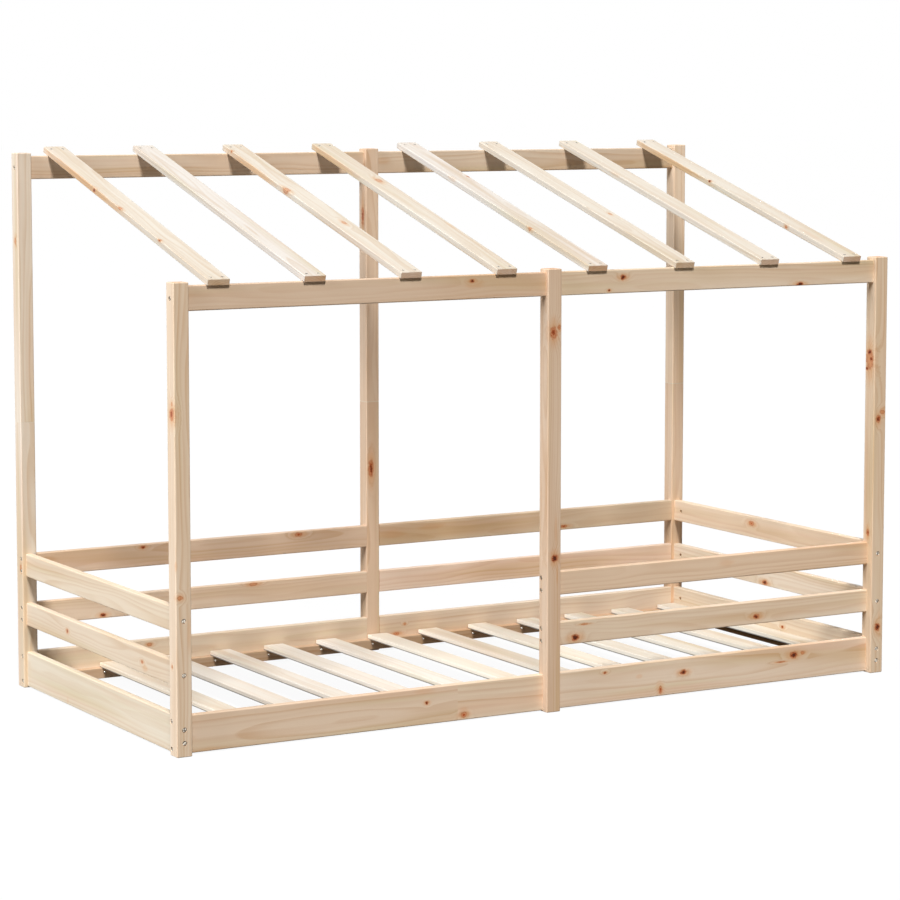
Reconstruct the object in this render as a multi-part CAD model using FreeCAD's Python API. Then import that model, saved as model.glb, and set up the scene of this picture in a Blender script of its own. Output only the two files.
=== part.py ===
import FreeCAD, Part
import math
import os

# A child's house bed in pine: six posts, boards and guard rails round a slatted bed, and a roof of slats
# that falls from the rear posts to the front posts. Millimetres, +Z up, +X along the bed, +Y to the back.
# The origin is on the floor, in the middle of the bed.

os.makedirs("parts", exist_ok=True)

# The whole bed
bed_length = 2086.0
bed_depth = 992.0
front_height = 1120.0
rear_height = 1400.0

# Posts
post_side = 40.0
post_round = 3.0
post_chamfer = 1.5
seam_chamfer = 0.6

# Boards, guard rails and roof beams, all of one thickness
member_thickness = 20.0
member_round = 3.0
board_height = 92.0
board_lift = 3.0
rail_height = 60.0
rail_gap = 69.5
beam_height = 60.0
beam_drop = 8.0

# Roof slats. The shares place them along the run from the first slat to the last one
roof_slat_width = 58.0
roof_slat_thickness = 16.0
roof_slat_round = 2.0
roof_slat_chamfer = 1.0
roof_slat_margin = 89.0
roof_slat_clearance = 0.1
roof_slat_shares = (0.0, 0.137, 0.279, 0.425, 0.569, 0.712, 0.856, 1.0)

# Bed slats and the ledges that carry them
bed_slat_count = 13
bed_slat_width = 60.0
bed_slat_thickness = 13.0
bed_slat_round = 2.0
bed_slat_chamfer = 1.0
bed_slat_side_gap = 4.0
bed_slat_left_gap = 21.0
bed_slat_right_gap = 1.0
ledge_thickness = 20.0
ledge_height = 28.0
ledge_lift = 7.0
ledge_round = 1.5
ledge_end_gap = 1.0

# Connector bolts, through studs and barrel nuts
bolt_diameter = 6.0
bolt_bore_clearance = 0.5
bolt_past_nut = 6.0
bolt_tip_clearance = 2.0
head_diameter = 11.0
head_height = 3.2
head_round = 1.4
head_sink = 4.0
head_clearance = 0.6
socket_width = 4.0
socket_depth = 2.0
nut_diameter = 10.0
nut_length = 14.0
nut_setback = 34.0
nut_clearance = 0.15
thread_clearance = 0.1
long_board_bolt_spread = 66.0
end_board_bolt_spread = 32.0
rail_bolt_spread = 32.0

# The stud and the pegs in the seam of a rear post
joint_stud_diameter = 8.0
joint_stud_length = 80.0
peg_diameter = 8.0
peg_length = 40.0
peg_offset = 11.0
peg_chamfer = 1.0
joint_clearance = 0.1

# Wood screws
screw_diameter = 4.0
screw_tip = 6.0
screw_clearance = 0.1
sunk_head_diameter = 8.0
sunk_head_depth = 2.6
round_head_diameter = 7.0
round_head_height = 2.4
cross_width = 1.1
cross_length = 4.4
cross_depth = 1.2
roof_screw_length = 36.0
roof_screw_spread = 32.0
ledge_screw_bite = 13.0
ledge_screw_offset = 8.0
ledge_screw_height_share = 0.6
bed_screw_bite = 8.0

# How far a cutter runs past the face that it opens
overrun = 1.0

# Counts, directions and places that follow from the sizes
post_count = 3
bay_count = post_count - 1
left = -bed_length / 2
right = bed_length / 2
front = -bed_depth / 2
rear = bed_depth / 2
bay_length = (bed_length - post_count * post_side) / bay_count
end_length = bed_depth - 2 * post_side
seam_height = rear_height / 2
half_thickness = member_thickness / 2
along_x = FreeCAD.Vector(1, 0, 0)
along_y = FreeCAD.Vector(0, 1, 0)
along_z = FreeCAD.Vector(0, 0, 1)

post_corner_x = {"left": left, "middle": -post_side / 2, "right": right - post_side}
post_corner_y = {"front": front, "rear": rear - post_side}
bay_start_x = {"left": left + post_side, "right": post_side / 2}
flush_y = {"front": front + post_side - half_thickness, "rear": rear - post_side + half_thickness}
middle_y = {"front": front + post_side / 2, "rear": rear - post_side / 2}
middle_x = {"left": left + post_side / 2, "right": right - post_side / 2}
post_height = {"front": front_height, "rear": rear_height}

lower_rail_z = board_lift + board_height + rail_gap
upper_rail_z = lower_rail_z + rail_height + rail_gap
bed_inner_left = middle_x["left"] + half_thickness
bed_inner_right = middle_x["right"] - half_thickness
ledge_top = ledge_lift + ledge_height

pieces = {}
cutters = {}


def add(node, shape):
    pieces.setdefault(node, []).append(shape)


def cut(node, shape):
    cutters.setdefault(node, []).append(shape)


def placed(shape, point, direction):
    # A shape made along +Z, turned to a direction and moved to a point
    copy = shape.copy()
    copy.Placement = FreeCAD.Placement(point, FreeCAD.Rotation(along_z, direction))
    return copy


def rod(diameter, length, point, direction):
    return Part.makeCylinder(diameter / 2, length, point, direction)


def parallel_edges(shape, direction):
    edges = []
    for edge in shape.Edges:
        run = edge.Vertexes[-1].Point - edge.Vertexes[0].Point
        if run.Length > 0 and run.cross(direction).Length < overrun * run.Length / bed_length:
            edges.append(edge)
    return edges


def end_edges(shape, direction, level):
    # The edges round the end of a bar, at a level along its direction
    edges = []
    for edge in shape.Edges:
        distances = [abs(vertex.Point.dot(direction) - level) for vertex in edge.Vertexes]
        if max(distances) < seam_chamfer / 2:
            edges.append(edge)
    return edges


def bar(size_x, size_y, size_z, direction, rounding):
    # A bar with its lowest corner at the origin and its long edges rounded
    box = Part.makeBox(size_x, size_y, size_z)
    return box.makeFillet(rounding, parallel_edges(box, direction))


def spread(centre, distance):
    return (centre - distance / 2, centre + distance / 2)


def post_node(side, place, height):
    if side == "front":
        return "front_" + place + "_post"
    half = "lower" if height < seam_height else "upper"
    return "rear_" + place + "_" + half + "_post"


# Posts

def post_piece(height, bottom_chamfer, top_chamfer):
    piece = bar(post_side, post_side, height, along_z, post_round)
    piece = piece.makeChamfer(bottom_chamfer, end_edges(piece, along_z, 0))
    return piece.makeChamfer(top_chamfer, end_edges(piece, along_z, height))


def front_post(place):
    piece = post_piece(front_height, post_chamfer, post_chamfer)
    piece.translate(FreeCAD.Vector(post_corner_x[place], post_corner_y["front"], 0))
    add(post_node("front", place, 0), piece)


def rear_post(place):
    # Two halves, held together at the seam by a stud and two pegs
    corner = FreeCAD.Vector(post_corner_x[place], post_corner_y["rear"], 0)
    lower = post_piece(seam_height, post_chamfer, seam_chamfer)
    lower.translate(corner)
    upper = post_piece(rear_height - seam_height, seam_chamfer, post_chamfer)
    upper.translate(corner + along_z * seam_height)
    add(post_node("rear", place, 0), lower)
    add(post_node("rear", place, rear_height), upper)

    halves = (post_node("rear", place, 0), post_node("rear", place, rear_height))
    centre = corner + (along_x + along_y) * (post_side / 2) + along_z * seam_height
    stud_start = centre - along_z * (joint_stud_length / 2)
    add("post_joint_studs", rod(joint_stud_diameter, joint_stud_length, stud_start, along_z))
    stud_bore = rod(joint_stud_diameter + 2 * joint_clearance, joint_stud_length + 2 * joint_clearance,
                    stud_start - along_z * joint_clearance, along_z)
    peg = rod(peg_diameter, peg_length, FreeCAD.Vector(), along_z)
    peg = peg.makeChamfer(peg_chamfer, end_edges(peg, along_z, 0) + end_edges(peg, along_z, peg_length))
    bores = [stud_bore]
    for turn in (1, -1):
        peg_start = centre + (along_x - along_y) * (turn * peg_offset) - along_z * (peg_length / 2)
        add("post_joint_pegs", placed(peg, peg_start, along_z))
        bores.append(rod(peg_diameter + 2 * joint_clearance, peg_length + 2 * joint_clearance,
                         peg_start - along_z * joint_clearance, along_z))
    for half in halves:
        for bore in bores:
            cut(half, bore)


# Bolts, studs and barrel nuts

def connector_bolt():
    # The head's flat underside is at the origin, the shank runs along +Z and the head stands along -Z
    head = rod(head_diameter, head_height, -along_z * head_height, along_z)
    head = head.makeFillet(head_round, end_edges(head, along_z, -head_height)[:1])
    corner_radius = socket_width / math.sqrt(3)
    corners = []
    for step in range(7):
        angle = math.radians(60 * step)
        corners.append(FreeCAD.Vector(corner_radius * math.cos(angle), corner_radius * math.sin(angle), 0))
    socket = Part.Face(Part.makePolygon(corners)).extrude(along_z * (socket_depth + overrun))
    socket.translate(-along_z * (head_height + overrun))
    shank_length = post_side - head_sink + nut_setback + bolt_past_nut
    shank = rod(bolt_diameter, shank_length, FreeCAD.Vector(), along_z)
    return head.cut(socket).fuse(shank).removeSplitter()


def barrel_nut():
    # The nut stands along +Z with its middle at the origin, and its thread runs along +X
    body = rod(nut_diameter, nut_length, -along_z * (nut_length / 2), along_z)
    hole_length = nut_diameter + 2 * overrun
    thread = rod(bolt_diameter + 2 * thread_clearance, hole_length, -along_x * (hole_length / 2), along_x)
    return body.cut(thread)


bolt_shape = connector_bolt()
nut_shape = barrel_nut()


def nut_in(member, post_face, direction, mouth):
    # A barrel nut across a member's end, with its hole open on the face that mouth points to, and the
    # bore that brings the bolt in from the end of the member
    bolt_bore = rod(bolt_diameter + 2 * bolt_bore_clearance,
                    nut_setback + bolt_past_nut + bolt_tip_clearance + overrun,
                    post_face - direction * overrun, direction)
    centre = post_face + direction * nut_setback
    floor = centre - mouth * (nut_length / 2)
    depth = nut_length / 2 + half_thickness + overrun
    cut(member, bolt_bore)
    cut(member, rod(nut_diameter + 2 * nut_clearance, depth, floor, mouth))
    turned = nut_shape.copy()
    turned.Placement = FreeCAD.Placement(centre, FreeCAD.Rotation(direction, mouth.cross(direction), mouth, "XZY"))
    add("barrel_nuts", turned)


def bolt_joint(post, member, post_outside, direction, mouth):
    # A headed bolt through a post from its outer face into a member's end
    add("connector_bolts", placed(bolt_shape, post_outside + direction * head_sink, direction))
    bore_start = post_outside - direction * overrun
    cut(post, rod(head_diameter + 2 * head_clearance, head_sink + overrun, bore_start, direction))
    cut(post, rod(bolt_diameter + 2 * bolt_bore_clearance, post_side + 2 * overrun, bore_start, direction))
    nut_in(member, post_outside + direction * post_side, direction, mouth)


def stud_joint(post, left_member, right_member, post_centre, mouth):
    # A headless stud through a middle post into the members on both sides of it
    length = post_side + 2 * (nut_setback + bolt_past_nut)
    add("through_studs", rod(bolt_diameter, length, post_centre - along_x * (length / 2), along_x))
    bore_length = post_side + 2 * overrun
    cut(post, rod(bolt_diameter + 2 * bolt_bore_clearance, bore_length,
                  post_centre - along_x * (bore_length / 2), along_x))
    half_post = along_x * (post_side / 2)
    nut_in(left_member, post_centre - half_post, -along_x, mouth)
    nut_in(right_member, post_centre + half_post, along_x, mouth)


# Boards, rails and beams

def long_row(side, name, bottom, height, centre_y, bolt_heights, bays):
    # A row of members along the bed, between the posts of one side
    middle_post = post_node(side, "middle", bottom)
    for bay in bays:
        node = "_".join((side, bay, name))
        member = bar(bay_length, member_thickness, height, along_x, member_round)
        member.translate(FreeCAD.Vector(bay_start_x[bay], centre_y - half_thickness, bottom))
        add(node, member)
        outwards = -1 if bay == "left" else 1
        corner_post = post_node(side, bay, bottom)
        for bolt_height in bolt_heights:
            corner = FreeCAD.Vector(outwards * right, centre_y, bolt_height)
            bolt_joint(corner_post, node, corner, along_x * -outwards, along_y)
            if len(bays) < bay_count:
                far_face = FreeCAD.Vector(-outwards * post_side / 2, centre_y, bolt_height)
                bolt_joint(middle_post, node, far_face, along_x * outwards, along_y)
    if len(bays) == bay_count:
        for bolt_height in bolt_heights:
            stud_joint(middle_post, "_".join((side, bays[0], name)), "_".join((side, bays[1], name)),
                       FreeCAD.Vector(0, centre_y, bolt_height), along_y)


def end_member(end, name, bottom, height, bolt_heights):
    # A member across the bed, between the front and rear posts of one end
    node = end + "_end_" + name
    member = bar(member_thickness, end_length, height, along_y, member_round)
    member.translate(FreeCAD.Vector(middle_x[end] - half_thickness, front + post_side, bottom))
    add(node, member)
    mouth = along_x if end == "left" else -along_x
    for bolt_height in bolt_heights:
        for side, outside, direction in (("front", front, along_y), ("rear", rear, -along_y)):
            point = FreeCAD.Vector(middle_x[end], outside, bolt_height)
            bolt_joint(post_node(side, end, bottom), node, point, direction, mouth)


both_bays = ("left", "right")
guarded_bays = {"front": ("right",), "rear": both_bays}
board_middle = board_lift + board_height / 2
rail_bottoms = {"lower_rail": lower_rail_z, "upper_rail": upper_rail_z}

for place in post_corner_x:
    front_post(place)
    rear_post(place)

for side in post_corner_y:
    long_row(side, "board", board_lift, board_height, flush_y[side],
             spread(board_middle, long_board_bolt_spread), both_bays)
    for rail, bottom in rail_bottoms.items():
        long_row(side, rail, bottom, rail_height, flush_y[side],
                 spread(bottom + rail_height / 2, rail_bolt_spread), guarded_bays[side])
    beam_bottom = post_height[side] - beam_drop - beam_height
    long_row(side, "beam", beam_bottom, beam_height, middle_y[side],
             (beam_bottom + beam_height / 2,), both_bays)

for end in middle_x:
    end_member(end, "board", board_lift, board_height, spread(board_middle, end_board_bolt_spread))
    for rail, bottom in rail_bottoms.items():
        end_member(end, rail, bottom, rail_height, (bottom + rail_height / 2,))


# Wood screws, made along +Z from the surface that they are driven into

def cross_recess(top):
    # The two crossed slots for the driver, in a head whose top is at a level
    depth = cross_depth + overrun
    slot = Part.makeBox(cross_length, cross_width, depth,
                        FreeCAD.Vector(-cross_length / 2, -cross_width / 2, top - overrun))
    other = Part.makeBox(cross_width, cross_length, depth,
                         FreeCAD.Vector(-cross_width / 2, -cross_length / 2, top - overrun))
    return slot.fuse(other)


def turned_profile(points):
    outline = Part.makePolygon([FreeCAD.Vector(radius, 0, level) for radius, level in points + points[:1]])
    return Part.Face(outline).revolve(FreeCAD.Vector(), along_z, 360)


def sunk_screw(length, clearance):
    shank = screw_diameter / 2 + clearance
    head = sunk_head_diameter / 2 + clearance
    tip = length + clearance
    return turned_profile([(0, 0), (head, 0), (shank, sunk_head_depth), (shank, tip - screw_tip), (0, tip)])


def plain_screw_bore(length):
    bore = screw_diameter / 2 + screw_clearance
    tip = length + screw_clearance
    return turned_profile([(0, 0), (bore, 0), (bore, tip - screw_tip), (0, tip)])


def round_screw(length):
    shank = screw_diameter / 2
    body = turned_profile([(0, 0), (shank, 0), (shank, length - screw_tip), (0, length)])
    head_radius = round_head_diameter / 2
    ball_radius = (head_radius ** 2 + round_head_height ** 2) / (2 * round_head_height)
    ball = Part.makeSphere(ball_radius, along_z * (ball_radius - round_head_height))
    cap = ball.common(rod(round_head_diameter, round_head_height, -along_z * round_head_height, along_z))
    return cap.cut(cross_recess(-round_head_height)).fuse(body).removeSplitter()


# Bed slats and ledges

bed_slat_run = bed_inner_right - bed_inner_left - bed_slat_left_gap - bed_slat_right_gap - bed_slat_width
bed_slat_pitch = bed_slat_run / (bed_slat_count - 1)
bed_slat_length = end_length - 2 * bed_slat_side_gap
bed_slat_left = [bed_inner_left + bed_slat_left_gap + step * bed_slat_pitch for step in range(bed_slat_count)]
ledge_screw_z = ledge_lift + ledge_height * ledge_screw_height_share
ledge_screw_length = ledge_thickness + ledge_screw_bite
bed_screw_length = ledge_height + bed_screw_bite
ledge_face_y = {"front": front + post_side + ledge_thickness, "rear": rear - post_side - ledge_thickness}
outward_y = {"front": -along_y, "rear": along_y}

ledge_screw = round_screw(ledge_screw_length)
ledge_screw_bore = plain_screw_bore(ledge_screw_length)
bed_screw = sunk_screw(bed_screw_length, 0).cut(cross_recess(0))
bed_screw_bore = sunk_screw(bed_screw_length, screw_clearance)


def bed_slat(number, start_x):
    node = "bed_slat_%02d" % number
    slat = bar(bed_slat_width, bed_slat_length, bed_slat_thickness, along_y, bed_slat_round)
    ends = end_edges(slat, along_y, 0) + end_edges(slat, along_y, bed_slat_length)
    slat = slat.makeChamfer(bed_slat_chamfer, ends)
    slat.translate(FreeCAD.Vector(start_x, -bed_slat_length / 2, ledge_top))
    add(node, slat)
    return node


def ledge(side):
    length = bed_inner_right - bed_inner_left - 2 * ledge_end_gap
    strip = bar(length, ledge_thickness, ledge_height, along_x, ledge_round)
    strip_y = min(ledge_face_y[side], ledge_face_y[side] + outward_y[side].y * ledge_thickness)
    strip.translate(FreeCAD.Vector(bed_inner_left + ledge_end_gap, strip_y, ledge_lift))
    node = side + "_ledge"
    add(node, strip)
    return node


bed_slat_nodes = [bed_slat(number + 1, start_x) for number, start_x in enumerate(bed_slat_left)]
for side in post_corner_y:
    ledge_node = ledge(side)
    behind = (side + "_left_board", side + "_right_board", post_node(side, "middle", 0))
    ledge_middle_y = ledge_face_y[side] + outward_y[side].y * ledge_thickness / 2
    for slat_node, start_x in zip(bed_slat_nodes, bed_slat_left):
        entry = FreeCAD.Vector(start_x + ledge_screw_offset, ledge_face_y[side], ledge_screw_z)
        add("ledge_screws", placed(ledge_screw, entry, outward_y[side]))
        for node in (ledge_node,) + behind:
            cut(node, placed(ledge_screw_bore, entry, outward_y[side]))
        below = FreeCAD.Vector(start_x + bed_slat_width / 2, ledge_middle_y, ledge_lift)
        add("bed_slat_screws", placed(bed_screw, below, along_z))
        for node in (ledge_node, slat_node):
            cut(node, placed(bed_screw_bore, below, along_z))


# Roof slats, each lying on the rounded front edges of both beams

roof_rise = rear_height - front_height
roof_run = middle_y["rear"] - middle_y["front"]
roof_angle = math.atan2(roof_rise, roof_run)
roof_sine = math.sin(roof_angle)
roof_cosine = math.cos(roof_angle)
up_slope = FreeCAD.Vector(0, roof_cosine, roof_sine)
off_roof = FreeCAD.Vector(0, -roof_sine, roof_cosine)

# The slats sink towards the beams by what the rounded edges lose, so that they touch them
edge_loss = member_round * (roof_sine + roof_cosine - 1) - roof_slat_clearance
beam_edge = FreeCAD.Vector(0, middle_y["front"] - half_thickness, front_height - beam_drop)
roof_seat = beam_edge - off_roof * edge_loss
slat_start = (front - roof_seat.y + roof_sine * roof_slat_thickness) / roof_cosine
slat_end = (rear - roof_seat.y) / roof_cosine
roof_slat_length = slat_end - slat_start
roof_slat_run = bed_length - 2 * roof_slat_margin - roof_slat_width

roof_screw = sunk_screw(roof_screw_length, 0).cut(cross_recess(0))
roof_screw_bore = sunk_screw(roof_screw_length, screw_clearance)
roof_screw_steps = {"front": roof_cosine * half_thickness,
                    "rear": roof_cosine * half_thickness + math.hypot(roof_rise, roof_run)}


def roof_slat(number, share):
    node = "roof_slat_%d" % number
    start_x = left + roof_slat_margin + roof_slat_run * share
    slat = bar(roof_slat_width, roof_slat_length, roof_slat_thickness, along_y, roof_slat_round)
    ends = end_edges(slat, along_y, 0) + end_edges(slat, along_y, roof_slat_length)
    slat = slat.makeChamfer(roof_slat_chamfer, ends)
    place = roof_seat + up_slope * slat_start + along_x * start_x
    slat.Placement = FreeCAD.Placement(place, FreeCAD.Rotation(along_x, math.degrees(roof_angle)))
    add(node, slat)
    middle = start_x + roof_slat_width / 2
    for side, step in roof_screw_steps.items():
        for screw_x in spread(middle, roof_screw_spread):
            entry = roof_seat + up_slope * step + off_roof * roof_slat_thickness + along_x * screw_x
            add("roof_slat_screws", placed(roof_screw, entry, -off_roof))
            for carrier in (node, side + "_left_beam", side + "_right_beam"):
                cut(carrier, placed(roof_screw_bore, entry, -off_roof))


for number, share in enumerate(roof_slat_shares):
    roof_slat(number + 1, share)


# Each node is written with its holes cut

for node, solids in pieces.items():
    shape = solids[0] if len(solids) == 1 else Part.makeCompound(solids)
    if node in cutters:
        box = shape.BoundBox
        holes = [hole for hole in cutters[node] if hole.BoundBox.intersect(box)]
        if holes:
            shape = shape.cut(Part.makeCompound(holes))
    shape.exportStep(os.path.join("parts", node + ".step"))
    solid_count = len(shape.Solids)
    print(node, solid_count, "solid" if solid_count == 1 else "solids", "valid" if shape.isValid() else "NOT VALID")
print(len(pieces), "nodes, slope", round(math.degrees(roof_angle), 2), "degrees")
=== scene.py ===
import bpy
import math
import numpy as np
from mathutils import Euler, Matrix, Vector


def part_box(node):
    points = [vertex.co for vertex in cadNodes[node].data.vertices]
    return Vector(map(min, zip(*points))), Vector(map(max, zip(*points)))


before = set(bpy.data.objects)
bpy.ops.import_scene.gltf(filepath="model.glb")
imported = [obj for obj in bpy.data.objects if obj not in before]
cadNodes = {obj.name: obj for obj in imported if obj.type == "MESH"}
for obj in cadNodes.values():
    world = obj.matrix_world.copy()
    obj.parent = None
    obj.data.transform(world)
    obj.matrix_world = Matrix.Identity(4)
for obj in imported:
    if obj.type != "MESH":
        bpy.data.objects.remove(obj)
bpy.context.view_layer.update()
print("frame loaded with", len(cadNodes), "nodes")


# small helpers for node trees: what goes into a socket is a plain value or another node's output

def place(tree, kind, sockets=None, **settings):
    node = tree.nodes.new(kind)
    for key, value in settings.items():
        setattr(node, key, value)
    for key, value in (sockets or {}).items():
        if isinstance(value, bpy.types.NodeSocket):
            tree.links.new(value, node.inputs[key])
        else:
            node.inputs[key].default_value = value
    return node


def maths(tree, operation, *values):
    return place(tree, "ShaderNodeMath", dict(enumerate(values)), operation=operation).outputs[0]


def vectors(tree, operation, *values):
    node = place(tree, "ShaderNodeVectorMath", dict(enumerate(values)), operation=operation)
    return node.outputs["Value" if operation in ("LENGTH", "DOT_PRODUCT") else "Vector"]


def stretch(tree, vector, factor):
    sockets = {0: vector, "Scale": factor}
    return place(tree, "ShaderNodeVectorMath", sockets, operation="SCALE").outputs["Vector"]


def smoothStep(tree, value, low, high, start=0.0, end=1.0):
    sockets = {"Value": value, "From Min": low, "From Max": high, "To Min": start, "To Max": end}
    return place(tree, "ShaderNodeMapRange", sockets, interpolation_type="SMOOTHSTEP").outputs["Result"]


def fadeOut(tree, value, low, high):
    return smoothStep(tree, value, low, high, 1.0, 0.0)


def noise(tree, vector, scale, detail, output="Fac"):
    sockets = {"Vector": vector, "Scale": scale, "Detail": detail}
    return place(tree, "ShaderNodeTexNoise", sockets).outputs[output]


def opaque(colour):
    return (*colour, 1)


def mixColour(tree, factor, first, second, blend="MIX"):
    sockets = {0: factor, 6: first, 7: second}  # 6 and 7 are the node's two colours, and 2 the mixed one
    return place(tree, "ShaderNodeMix", sockets, data_type="RGBA", blend_type=blend).outputs[2]


def tint(tree, factor, colour, tone):
    return mixColour(tree, factor, colour, opaque(tone), "MULTIPLY")


def newGroup(name, inputs, outputs):
    tree = bpy.data.node_groups.new(name, "ShaderNodeTree")
    for way, sockets in (("INPUT", inputs), ("OUTPUT", outputs)):
        for socketName, kind in sockets.items():
            tree.interface.new_socket(socketName, in_out=way, socket_type="NodeSocket" + kind)
    entry = tree.nodes.new("NodeGroupInput")
    leave = tree.nodes.new("NodeGroupOutput")
    return tree, entry.outputs, leave.inputs


def newMaterial(name):
    material = bpy.data.materials.new(name)
    material.use_nodes = True
    material.node_tree.nodes.clear()
    return material


def dress(name, material):
    for slot in cadNodes[name].material_slots:
        slot.material = material


# what knots and resin leave in the wood: how far they push the rings, the knot, its rim, the resin round it
# and its dark heart
knotMasks = dict.fromkeys(("Swell", "Core", "Rim", "Halo", "Dark"), "Float")

# one knot: an ellipsoid in the wood with a ragged edge, a rim, a heart with its own small rings, resin along
# the grain, and a swelling that pushes the year rings round it. An edge fades between two distances, which
# are in radii. The knot adds itself to the masks of the knots before it.
knotShape = {"raggedScale": 140.0, "raggedDetail": 2.0, "raggedDepth": 1.1,
             "coreEdge": (0.8, 1.5), "rimInner": (0.6, 1.0), "rimOuter": (1.0, 1.4),
             "grainSqueeze": (0.38, 0.62, 0.62), "haloEdge": (0.3, 1.6), "swellEdge": (0.0, 2.2),
             "swellPush": 0.012, "spotScale": 420.0, "spotDetail": 1.0,
             "heartGrowth": 0.7, "heartLeast": 0.25, "heartEdge": (-0.3, 0.3),
             "heartRings": 19.0, "heartRingDepth": 0.12, "fullDarkness": 0.7}


def makeKnotGroup(shape):
    given = {"Vector": "Vector", "Centre": "Vector", "Radii": "Vector", "Darkness": "Float", **knotMasks}
    tree, entry, leave = newGroup("pineKnot", given, knotMasks)
    ragged = noise(tree, entry["Vector"], shape["raggedScale"], shape["raggedDetail"], "Color")
    ragged = stretch(tree, vectors(tree, "SUBTRACT", ragged, (0.5, 0.5, 0.5)), shape["raggedDepth"])
    offset = vectors(tree, "SUBTRACT", entry["Vector"], entry["Centre"])
    uneven = vectors(tree, "ADD", vectors(tree, "DIVIDE", offset, entry["Radii"]), ragged)
    distance = vectors(tree, "LENGTH", uneven)
    along = vectors(tree, "LENGTH", vectors(tree, "MULTIPLY", uneven, shape["grainSqueeze"]))
    core = fadeOut(tree, distance, *shape["coreEdge"])
    rim = smoothStep(tree, distance, *shape["rimInner"])
    rim = maths(tree, "MULTIPLY", rim, fadeOut(tree, distance, *shape["rimOuter"]))
    halo = fadeOut(tree, along, *shape["haloEdge"])
    swell = maths(tree, "MULTIPLY", fadeOut(tree, along, *shape["swellEdge"]), shape["swellPush"])

    # a darker knot has a larger and deeper heart
    spots = noise(tree, entry["Vector"], shape["spotScale"], shape["spotDetail"])
    spots = maths(tree, "SUBTRACT", spots, 0.5)
    heartSize = maths(tree, "MULTIPLY_ADD", entry["Darkness"], shape["heartGrowth"], shape["heartLeast"])
    fromHeart = maths(tree, "SUBTRACT", maths(tree, "ADD", distance, spots), heartSize)
    heart = fadeOut(tree, fromHeart, *shape["heartEdge"])
    depth = smoothStep(tree, entry["Darkness"], 0.0, shape["fullDarkness"])
    smallRings = maths(tree, "SINE", maths(tree, "MULTIPLY", distance, shape["heartRings"]))
    smallRings = maths(tree, "MULTIPLY_ADD", smallRings, shape["heartRingDepth"], 1.0)
    dark = maths(tree, "MULTIPLY", maths(tree, "MULTIPLY", heart, depth), smallRings)

    tree.links.new(maths(tree, "ADD", entry["Swell"], swell), leave["Swell"])
    for mask, value in (("Core", core), ("Rim", rim), ("Halo", halo), ("Dark", dark)):
        tree.links.new(maths(tree, "MAXIMUM", entry[mask], value), leave[mask])
    return tree


# a resin streak or stained patch: a soft ellipsoid, torn along the grain
resinShape = {"squeeze": (22, 130, 130), "detail": 3.0, "tornDepth": 0.9, "edge": (0.35, 1.1)}


def makeResinGroup(shape):
    given = {"Vector": "Vector", "Centre": "Vector", "Radii": "Vector", "Strength": "Float", "Halo": "Float"}
    tree, entry, leave = newGroup("resinStreak", given, {"Halo": "Float"})
    offset = vectors(tree, "SUBTRACT", entry["Vector"], entry["Centre"])
    offset = vectors(tree, "DIVIDE", offset, entry["Radii"])
    squeezed = vectors(tree, "MULTIPLY", entry["Vector"], shape["squeeze"])
    torn = maths(tree, "SUBTRACT", noise(tree, squeezed, 1.0, shape["detail"]), 0.5)
    distance = maths(tree, "MULTIPLY_ADD", torn, shape["tornDepth"], vectors(tree, "LENGTH", offset))
    patch = maths(tree, "MULTIPLY", fadeOut(tree, distance, *shape["edge"]), entry["Strength"])
    tree.links.new(maths(tree, "MAXIMUM", entry["Halo"], patch), leave["Halo"])
    return tree


# pine as solid wood: the year rings are cylinders round a pith line that runs beside the piece, bent by slow
# noise and by the knots. Each ring goes from pale early wood to a darker late line. The grain runs along X.
pineGrowth = {
    "seedStep": (3.17, 1.31, 2.23),  # each seed moves the noise on by this
    "taper": 0.012,  # how much the rings close up along the grain
    "bend": {"squeeze": (1.7, 10, 10), "detail": 2.0, "share": 0.034},
    "lateRise": (0.25, 0.88), "lateFall": (0.9, 1.0),  # shares of a ring's width
    "ringSpread": 0.8, "ringLeast": 0.2, "lateShare": 0.13,
    "streaks": {"squeeze": (0.8, 60, 60), "detail": 3.0, "share": 1.0},
    "fibres": {"squeeze": (14, 900, 900), "detail": 2.0, "share": 0.22},
    "clouds": {"squeeze": (2.4, 14, 14), "detail": 2.0, "share": 0.85},
    "rosy": {"squeeze": (1.1, 17, 17), "detail": 1.0, "reach": 0.28, "share": 0.7,
             "tint": (0.99, 0.86, 0.80)},
    "greenish": {"squeeze": (1.4, 26, 26), "detail": 1.0, "reach": 0.26, "share": 0.75,
                 "tint": (0.90, 0.92, 0.80)},
    "resinStain": {"mask": "Halo", "share": 0.7, "tint": (0.93, 0.66, 0.43)},
    "knotStain": {"mask": "Core", "share": 0.8, "tint": (0.91, 0.65, 0.52)},
    "rimStain": {"mask": "Rim", "share": 0.5, "tint": (0.66, 0.36, 0.26)},
    "redHeart": {"reach": (0.0, 0.55), "tint": (0.66, 0.32, 0.20)},
    "blackHeart": {"reach": (0.5, 1.05), "tone": (0.085, 0.022, 0.010)},
    "rough": 0.46, "lateRough": -0.1, "knotRough": -0.1, "endRough": 0.2,  # the last three are added
    "ringRelief": 0.5, "fibreRelief": 0.7, "rimRelief": -0.8,  # heights for the bump
}


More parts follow.
